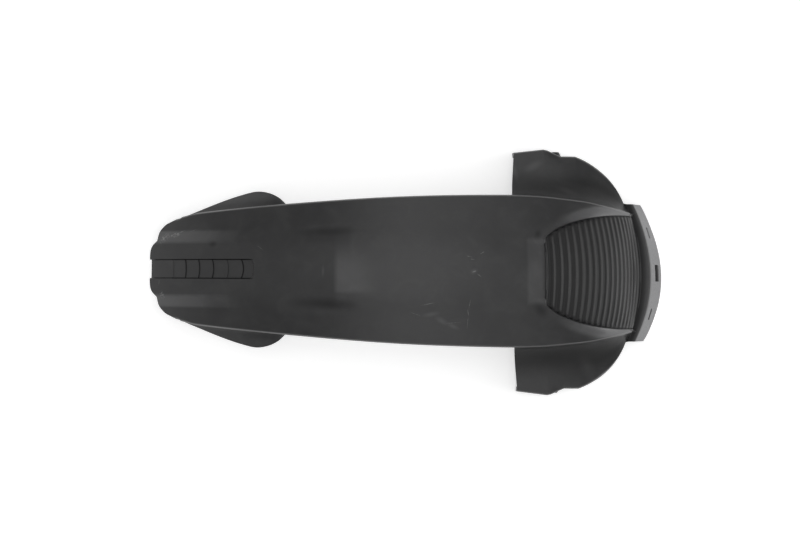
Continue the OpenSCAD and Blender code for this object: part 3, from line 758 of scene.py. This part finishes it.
def painted_light_of(x, y, z):
    """How much light each place gives back, painted: painted shade below 1 in creases and grooves, painted
    light and highlights above 1.
    """
    away, left = np.abs(y), y > 0
    x = x + front_skew(x) * y
    on_top = x < NOSE_X + 0.5
    station = x + bend(x) * away * away
    pad_w, lip = TREAD_W * curve(PAD, station), BODY_W * curve(LIP, station)
    tone = np.where(on_top, tread_painted_shade(station, away, pad_w), 1)
    # painted highlight on the shoulders beside the tread, stronger on the left
    shoulder = ease((away - pad_w + 0.5) / 1.0) * ease((pad_w + 7.0 - away) / 4.0)
    shoulder *= ease((station - 88) / 24) * on_top * (away < lip + 0.5)
    tone *= mix(1, np.where(left, *SHOULDER_PAINTED_HIGHLIGHT), shoulder)
    # painted shade on the wings under the lip, fading outwards
    wing = ease((away - lip + 0.6) / 0.8) * ease((station - WING_X + 4) / 4) * (x < NOSE_X)
    outward = ease((away - WING_FADE) / np.where(left, *WING_FADE_L))
    tone *= mix(1, mix(WING_LIP_PAINTED_SHADE, WING_TONE, outward), wing)
    # painted light on the side slopes of the tail's ridge
    slope = ease((away - RIDGE_W + 1) / 2) * ease((RIDGE_W + RIDGE_SLOPE_W + 1.5 - away) / 2)
    tone *= mix(1, SLOPE_PAINTED_LIGHT, slope * ease((-90 - x) / 46))
    # painted light on the tail lobes, stronger on the left
    lobe = ease((away - lip - 1) / 6) * (x < LOBE_END_X)
    tone *= mix(1, np.where(left, *LOBE_PAINTED_LIGHT), lobe)
    tone *= back_painted_light(x, y, away)
    # painted shade along the steps in the channel
    near_step = np.min(np.abs((x - channel_bow(x, y))[:, None] - np.array(STEP_X[1:-1])), axis=1) < 0.3
    tone *= mix(1, STEP_PAINTED_SHADE, near_step * (away < CHANNEL_W + 0.1))
    return front_painted_light_and_shade(x, z, away, tone)


def set_painted_light(obj):
    """Keeps the painted light and shade of every corner with the mesh, for the plastic to read."""
    mesh = obj.data
    co = np.empty(len(mesh.vertices) * 3)
    mesh.vertices.foreach_get("co", co)
    x, y, z = co.reshape(-1, 3).T / MM
    tone = mesh.attributes.new("tone", "FLOAT", "POINT")
    tone.data.foreach_set("value", painted_light_of(x, y, z).astype(np.float32))


set_painted_light(moulding)


# Materials
class Nodes:
    """Short helper for building a node tree."""

    def __init__(self, name):
        self.mat = bpy.data.materials.new(name)
        self.mat.use_nodes = True
        self.tree = self.mat.node_tree
        self.tree.nodes.clear()
        self.out = self.tree.nodes.new("ShaderNodeOutputMaterial")
        self.coords = self.tree.nodes.new("ShaderNodeTexCoord").outputs["Object"]

    def put(self, socket, value):
        if isinstance(value, bpy.types.NodeSocket):
            self.tree.links.new(value, socket)
        else:
            socket.default_value = value

    def node(self, kind, inputs=None, **props):
        n = self.tree.nodes.new("ShaderNode" + kind)
        for key, value in props.items():
            setattr(n, key, value)
        for key, value in (inputs or {}).items():
            self.put(n.inputs[key], value)
        return n

    def math(self, operation, a, b=0.0, c=0.0, clamp=False):
        return self.node("Math", {0: a, 1: b, 2: c}, operation=operation, use_clamp=clamp).outputs[0]

    def noise(self, scale, detail=2.0, rough=0.5, vector=None, distortion=0.0):
        return self.node("TexNoise", {"Vector": vector or self.coords, "Scale": scale, "Detail": detail,
                                      "Roughness": rough, "Distortion": distortion}).outputs["Fac"]

    def ramp(self, value, low, high, out_low=0.0, out_high=1.0):
        limits = {"Value": value, "From Min": low, "From Max": high, "To Min": out_low, "To Max": out_high}
        return self.node("MapRange", limits, interpolation_type="SMOOTHSTEP").outputs["Result"]

    def mix_colour(self, factor, a, b):
        n = self.node("Mix", data_type="RGBA")
        self.put(n.inputs[0], factor)
        self.put(n.inputs[6], a)
        self.put(n.inputs[7], b)
        return n.outputs[2]

    def mark(self, place, angle, half_length, half_width, soft=0.0):
        """1 inside a long thin ellipse on the object, seen from above, and 0 outside. Places in mm."""
        frame_of = {"Vector": self.coords, "Location": (place[0] * MM, place[1] * MM, 0),
                    "Rotation": (0, 0, math.radians(angle)),
                    "Scale": (half_length * MM, half_width * MM, 1000)}
        m = self.node("Mapping", frame_of, vector_type="TEXTURE")
        r = self.node("VectorMath", {0: m.outputs[0]}, operation="LENGTH").outputs["Value"]
        return self.ramp(r, soft, 1.0, 1.0, 0.0)

    def band(self, value, low, high, soft):
        """1 where the value lies between low and high, with soft ends."""
        rise = self.ramp(value, low - soft, low + soft)
        return self.math("MULTIPLY", rise, self.ramp(value, high - soft, high + soft, 1.0, 0.0))

    def total(self, values):
        out = values[0]
        for v in values[1:]:
            out = self.math("MAXIMUM", out, v)
        return out

    def shader(self, **inputs):
        n = self.node("BsdfPrincipled")
        for key, value in inputs.items():
            self.put(n.inputs[key.replace("_", " ")], value)
        self.tree.links.new(n.outputs[0], self.out.inputs["Surface"])
        return n


# Scratches: place in mm, angle, half length, half width
SCRATCHES = [((36.2, 8.2), -12, 2.2, 0.3), ((38.0, 6.6), -8, 1.6, 0.3), ((43.8, 10.5), 30, 1.8, 0.35),
             ((42.0, -2.8), -35, 2.0, 0.4), ((39.0, -0.6), 20, 1.6, 0.5), ((36.6, -20), 80, 3.4, 0.25),
             ((35.8, -25), 100, 2.6, 0.25), ((35.6, -31), 86, 4.6, 0.2), ((12.0, -20), 12, 5.5, 0.2),
             ((5.0, -26), -18, 4.0, 0.2), ((27.0, -31), 5, 6.0, 0.18), ((-140, 22.4), 24, 4.8, 0.22),
             ((-145, 21.0), 30, 3.2, 0.2), ((-131, 23.6), 18, 3.6, 0.18), ((-154, -8.5), 84, 2.0, 0.3),
             ((-88, 12.5), -35, 3.0, 0.18)]
SCUFFS = [((-150.5, 19), 40, 7, 2.6), ((-143, 21), 15, 5, 2.4), ((-152, -16), -60, 3.5, 2.2)]
# Dark spots: place in mm, angle, half length, half width; the two long ones at x -48 paint shade into the
# dents
SPOTS = [((-118, 15), 10, 4.0, 2.8), ((-48, 22.5), 2, 24, 4), ((-48, -20.5), -2, 25, 5),
         ((79, -23), -50, 8, 4.5), ((77, 22), 60, 4, 3)]
# Faint light smudges, in the same form; the one at (-50, -1) is a painted highlight
SMUDGES = [((112, -59), -62, 13, 6), ((78, 66), 30, 9, 4), ((66, 62), -78, 8, 2.5), ((98, 50), -20, 10, 3),
           ((39, -0.5), 30, 3, 2.2), ((20.5, -30), -30, 6, 2.5), ((14, -26), 10, 7, 2),
           ((27, -33), -25, 6, 2), ((-50, -1), 88, 5, 1.2)]


def painted_crease_shade(n):
    """Painted shade at the foot of the channel's sides and inside the flange's slots, which lie in the
    dark.
    """
    xyz = n.node("SeparateXYZ", {"Vector": n.coords}).outputs
    away = n.math("ABSOLUTE", xyz[1])
    edge = n.math("MULTIPLY", n.band(away, (CHANNEL_W - 0.15) * MM, (CHANNEL_W + 0.5) * MM, 0.15 * MM),
                  n.band(xyz[0], (TAIL_X + 3) * MM, CHANNEL_X * MM, 2 * MM))
    bow = n.math("MULTIPLY_ADD", n.math("MULTIPLY", xyz[1], xyz[1]), 0.5 / (FLANGE_R * MM), xyz[0])
    skew = n.math("MULTIPLY_ADD", xyz[1], FRONT_TURN + FLANGE_TURN, bow)
    reach = n.math("MULTIPLY_ADD", xyz[2], (FLANGE_X - LEDGE_OUT_X) / LEDGE_Z, skew)
    deep = n.band(reach, (FLANGE_X - 4.5) * MM, (FLANGE_X - 0.55) * MM, 0.15 * MM)
    soft = 0.1 * MM
    half = SLOT_H / 2 + 0.3
    middle = n.math("MULTIPLY", n.band(away, -0.01, (SLOT_W / 2 + 0.2) * MM, soft),
                    n.band(xyz[2], (SLOT_Z - half) * MM, (SLOT_Z + half) * MM, soft))
    side = n.math("MULTIPLY", n.band(away, (SIDE_SLOT_Y - 5) * MM, (SIDE_SLOT_Y + 5) * MM, soft),
                  n.band(xyz[2], (SIDE_SLOT_Z - 1.4) * MM, (SIDE_SLOT_Z + 1.4) * MM, soft))
    return n.total([edge, n.math("MULTIPLY", n.total([middle, side]), deep)])


def marks(n, places, soft=0.0):
    return n.total([n.mark(*place, soft) for place in places])


def black_plastic():
    n = Nodes("black_moulded_plastic")
    grain = n.noise(2600, 2.0, 0.55)
    pores = n.noise(900, 3.0, 0.6)
    cloud = n.noise(28, 4.0, 0.6)
    patches = n.noise(75, 3.0, 0.6, distortion=0.6)
    streak_map = n.node("Mapping", {"Vector": n.coords, "Scale": (0.12, 1, 1)})
    streaks = n.noise(420, 3.0, 0.6, streak_map.outputs[0])
    broken = n.math("MULTIPLY", marks(n, SCRATCHES, 0.2), n.ramp(pores, 0.36, 0.62, 0.25, 1.0))
    scuffed = n.math("MULTIPLY", marks(n, SCUFFS), n.ramp(pores, 0.42, 0.7, 0.0, 0.8))

    # colour of the plastic, with a little dust and rubbed places
    base = n.mix_colour(n.ramp(cloud, 0.3, 0.7), (0.0135, 0.0135, 0.0142, 1), (0.0185, 0.0185, 0.019, 1))
    dusty = n.math("MULTIPLY", n.ramp(patches, 0.5, 0.75), 0.22)
    colour = n.mix_colour(dusty, base, (0.03, 0.0298, 0.029, 1))
    rubbed = n.math("MAXIMUM", n.math("MULTIPLY", broken, 0.85), scuffed)
    colour = n.mix_colour(rubbed, colour, (0.13, 0.13, 0.128, 1))

    # how much light comes back is painted: colour and specular level follow the painted tone of the mesh,
    # the painted crease shade and the marks
    tone = n.node("Attribute", attribute_name="tone").outputs["Fac"]
    tone = n.math("MULTIPLY", tone, n.math("MULTIPLY_ADD", n.ramp(patches, 0.3, 0.7), 0.08, 0.96))
    tone = n.math("MULTIPLY", tone, n.math("SUBTRACT", 1.0, n.math("MULTIPLY", painted_crease_shade(n), 0.8)))
    tone = n.math("MULTIPLY_ADD", scuffed, 0.8, tone)
    lighter, darker = n.math("MULTIPLY", marks(n, SMUDGES), 0.34), n.math("MULTIPLY", marks(n, SPOTS), 0.3)
    tone = n.math("MULTIPLY", tone, n.math("ADD", n.math("SUBTRACT", lighter, darker), 1.0))
    # where painted light lifts the tone above 2.5, on the flange's face and the left shoulder, it is
    # mottled
    mottle = n.math("MULTIPLY_ADD", n.ramp(pores, 0.4, 0.6), 0.5, -0.15)
    strong_painted_light = n.math("MAXIMUM", n.math("SUBTRACT", tone, 2.5), 0.0)
    tone = n.math("MULTIPLY_ADD", strong_painted_light, mottle, tone)
    shown = n.node("VectorMath", {0: colour, 3: tone}, operation="SCALE").outputs[0]
    # painted sheen: the specular level follows the same tone
    painted_sheen = n.math("MULTIPLY", tone, 0.5, clamp=True)

    rough = n.ramp(cloud, 0.3, 0.7, 0.38, 0.46)
    rough = n.math("ADD", rough, n.math("MULTIPLY", n.ramp(patches, 0.4, 0.7), 0.05))
    rough = n.math("ADD", rough, n.math("MULTIPLY", n.ramp(streaks, 0.6, 0.78), -0.03))
    rough = n.math("ADD", rough, n.math("MULTIPLY", n.math("MAXIMUM", broken, scuffed), 0.16), clamp=True)
    height = n.math("ADD", n.math("MULTIPLY", grain, 1.0), n.math("MULTIPLY", pores, 0.6))
    height = n.math("SUBTRACT", height, n.math("MULTIPLY", broken, 1.6))
    bump = n.node("Bump", {"Height": height, "Strength": 0.32, "Distance": 0.00006})
    n.shader(Base_Color=shown, Roughness=rough, IOR=1.5, Specular_IOR_Level=painted_sheen, Normal=bump.outputs[0])
    return n.mat


def steel(name, colour, dark, rough_low, rough_high, stretch):
    """Bare or plated steel with fine lines along one direction and a few stains."""
    n = Nodes(name)
    lines_map = n.node("Mapping", {"Vector": n.coords, "Scale": stretch})
    lines = n.noise(3000, 3.0, 0.6, lines_map.outputs[0])
    cloud = n.noise(60, 4.0, 0.6)
    spots = n.ramp(n.noise(260, 4.0, 0.65), 0.56, 0.72)
    base = n.mix_colour(n.ramp(cloud, 0.35, 0.7), colour, dark)
    base = n.mix_colour(n.math("MULTIPLY", spots, 0.5), base, (0.11, 0.085, 0.06, 1))
    rough = n.ramp(lines, 0.3, 0.7, rough_low, rough_high)
    rough = n.math("ADD", rough, n.math("MULTIPLY", spots, 0.2), clamp=True)
    bump = n.node("Bump", {"Height": lines, "Strength": 0.25, "Distance": 0.00004})
    n.shader(Base_Color=base, Metallic=1.0, Roughness=rough, Normal=bump.outputs[0])
    return n.mat


plastic = black_plastic()
moulding.data.materials.clear()
moulding.data.materials.append(plastic)
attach(moulding, "root")
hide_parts("mudguard")

shoe_steel = steel("worn_steel", (0.42, 0.42, 0.41, 1), (0.30, 0.29, 0.28, 1), 0.28, 0.5, (0.06, 1, 1))
zinc = steel("zinc_steel", (0.6, 0.61, 0.62, 1), (0.48, 0.48, 0.47, 1), 0.24, 0.42, (1, 1, 0.2))
for name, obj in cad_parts.items():
    if name == "mudguard":
        continue
    finish = shoe_steel if name == "brake_shoe" else zinc
    if not obj.material_slots:
        obj.data.materials.append(finish)
    for slot in obj.material_slots:
        slot.material = finish


# Floor, light and camera
def floor_material():
    n = Nodes("white_paper")
    path = n.node("LightPath")
    seen = n.total([path.outputs[f"Is {kind} Ray"] for kind in ("Camera", "Glossy", "Transmission")])
    fibre = n.noise(900, 4.0, 0.6)
    colour = n.mix_colour(fibre, (0.78, 0.78, 0.78, 1), (0.82, 0.82, 0.82, 1))
    bump = n.node("Bump", {"Height": fibre, "Strength": 0.1, "Distance": 0.0001})
    diffuse = n.node("BsdfDiffuse", {"Color": colour, "Normal": bump.outputs[0]})
    glow = n.node("Emission", {"Color": (1, 1, 1, 1), "Strength": n.math("MULTIPLY", seen, FLOOR_GLOW)})
    both = n.node("AddShader", {0: diffuse.outputs[0], 1: glow.outputs[0]})
    n.tree.links.new(both.outputs[0], n.out.inputs["Surface"])
    return n.mat


FLOOR_GLOW, WORLD = 0.5, 0.3
floor_mesh = bpy.data.meshes.new("floor")
floor_mesh.from_pydata([(-4, -4, 0), (4, -4, 0), (4, 4, 0), (-4, 4, 0)], [], [(0, 1, 2, 3)])
floor = add_object("floor", floor_mesh)
floor.location.z = -0.0002
floor_mesh.materials.append(floor_material())

world = bpy.data.worlds.new("studio")
world.use_nodes = True
bpy.context.scene.world = world
tree = world.node_tree
tree.nodes.clear()
path = tree.nodes.new("ShaderNodeLightPath")
choose = tree.nodes.new("ShaderNodeMixShader")
out = tree.nodes.new("ShaderNodeOutputWorld")
tree.links.new(path.outputs["Is Camera Ray"], choose.inputs[0])
for socket, strength in ((1, WORLD), (2, 1.0)):
    white = tree.nodes.new("ShaderNodeBackground")
    white.inputs["Color"].default_value = (1, 1, 1, 1)
    white.inputs["Strength"].default_value = strength
    tree.links.new(white.outputs[0], choose.inputs[socket])
tree.links.new(choose.outputs[0], out.inputs["Surface"])


# Softboxes: name, place and aim in metres, width and height in metres, radiance
LIGHTS = [("top", (0.0, 0.0, 1.4), (0, 0, 0.05), (0.7, 0.7), 0.95),
          ("front_top", (0.55, 0.0, 1.25), (0, 0, 0.05), (0.9, 0.5), 0.5),
          ("front_high", (1.15, 0.0, 0.95), (0.05, 0, 0.03), (1.2, 0.6), 0.8),
          ("front_low", (1.5, 0.0, 0.4), (0.1, 0, 0.03), (1.4, 0.5), 4),
          ("rear_top", (-0.55, 0.0, 1.25), (0, 0, 0.05), (0.9, 0.5), 0.55),
          ("rear_high", (-1.15, 0.0, 0.95), (-0.05, 0, 0.03), (1.2, 0.6), 0.55),
          ("rear_low", (-1.5, 0.0, 0.4), (-0.1, 0, 0.03), (1.4, 0.5), 0.55),
          ("left_top", (0.0, 0.55, 1.25), (0, 0, 0.05), (0.5, 0.9), 0.9),
          ("left_high", (0.05, 1.15, 0.95), (0.05, 0, 0.03), (0.6, 1.2), 1.2),
          ("left_low", (0.05, 1.5, 0.4), (0.05, 0, 0.03), (0.5, 1.4), 0.4),
          ("right_top", (0.0, -0.55, 1.25), (0, 0, 0.05), (0.5, 0.9), 0.9),
          ("right_high", (0.05, -1.15, 0.95), (0.05, 0, 0.03), (0.6, 1.2), 1.2),
          ("right_low", (0.05, -1.5, 0.4), (0.05, 0, 0.03), (0.5, 1.4), 0.4)]
for name, place, aim, size, radiance in LIGHTS:
    data = bpy.data.lights.new(name, "AREA")
    data.shape, data.size, data.size_y = "RECTANGLE", size[0], size[1]
    data.energy = radiance * math.pi * size[0] * size[1]
    lamp = bpy.data.objects.new(name, data)
    bpy.context.scene.collection.objects.link(lamp)
    towards = (Vector(aim) - Vector(place)).to_track_quat("-Z", "Y")
    lamp.matrix_world = Matrix.Translation(place) @ towards.to_matrix().to_4x4()

scene = bpy.context.scene
scene.view_settings.view_transform = "Standard"
# The camera's place in mm, its small turns about X, Y and Z in radians, and its focal length in pixels
CAMERA, CAMERA_TURN, FOCAL = (-4.5, -11.2, 983.0), (-0.0141, 0.0, -0.0085), 1553.0
FRAME_W, SENSOR = 800, 36.0
cam_data = bpy.data.cameras.new("camera")
cam_data.sensor_width, cam_data.lens = SENSOR, FOCAL / FRAME_W * SENSOR
cam_data.clip_start, cam_data.clip_end = 0.05, 20
camera = bpy.data.objects.new("camera", cam_data)
scene.collection.objects.link(camera)
about_x, about_y, about_z = (Matrix.Rotation(a, 4, axis) for a, axis in zip(CAMERA_TURN, "XYZ"))
turn = about_y @ about_x @ about_z
camera.matrix_world = Matrix.Translation([v * MM for v in CAMERA]) @ turn.transposed()
scene.camera = camera
